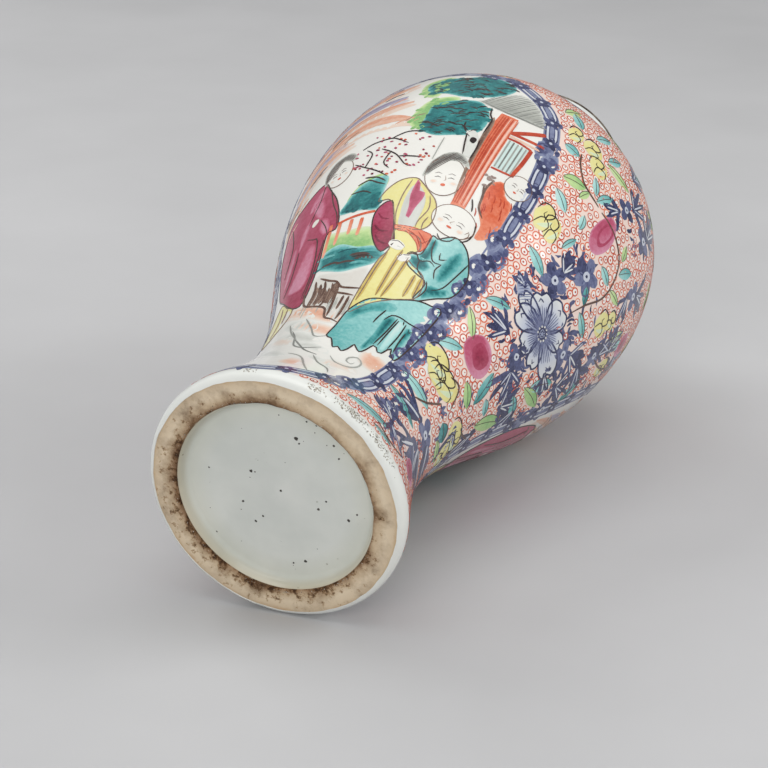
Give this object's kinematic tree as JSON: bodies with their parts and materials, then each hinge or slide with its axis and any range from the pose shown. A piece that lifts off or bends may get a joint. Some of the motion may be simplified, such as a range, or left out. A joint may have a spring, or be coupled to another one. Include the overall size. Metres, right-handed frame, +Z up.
{
  "type": "baluster vase",
  "caption": "Porcelain baluster vase lying on its side, with a spreading foot, high belly, short flared neck and painted figure panels.",
  "frame": {"origin": "centre of the box's underside, on the surface that the vase lies on", "axes": "+Z up from that surface, +Y from the foot towards the mouth; the vase's own axis is in the YZ plane and rises 7.743 degrees from +Y, because it lies on its foot's edge and its belly. To stand it up, turn it 82.257 degrees about +X, so that the foot_face mount points down"},
  "size_m": [0.1164, 0.2464, 0.1173],
  "materials": {
    "biscuit": "dry unglazed fired porcelain, warm tan, dirtier towards the inner edge",
    "slip": "fired slip in the joints",
    "outer_glaze": "clear glaze over white porcelain, faintly blue-grey",
    "inner_glaze": "clear glaze, thinner than outside",
    "base_glaze": "pale blue-grey glaze with black pinholes",
    "iron_dressing": "iron-brown lip dressing, worn",
    "cobalt_blue": "blue under the glaze",
    "iron_red": "thin iron red over the glaze",
    "rose_enamel": "opaque rose enamel",
    "green_enamel": "clear green enamel",
    "turquoise_enamel": "clear turquoise and teal enamel",
    "yellow_enamel": "opaque yellow enamel",
    "white_enamel": "opaque white enamel",
    "line_black": "black-brown drawing lines",
    "wash": "thin salmon, lilac and brown washes",
    "kiln_grit": "kiln sand fused to the foot"
  },
  "bodies": {
    "root": {"foot": "outer_glaze", "waist_lute": "slip", "lower_body": "outer_glaze", "belly_lute": "slip", "upper_body": "outer_glaze", "neck_lute": "slip", "neck": "outer_glaze", "inner_glaze": "inner_glaze", "base_glaze": "base_glaze", "lip_dressing": "iron_dressing"}
  },
  "joints": []
}
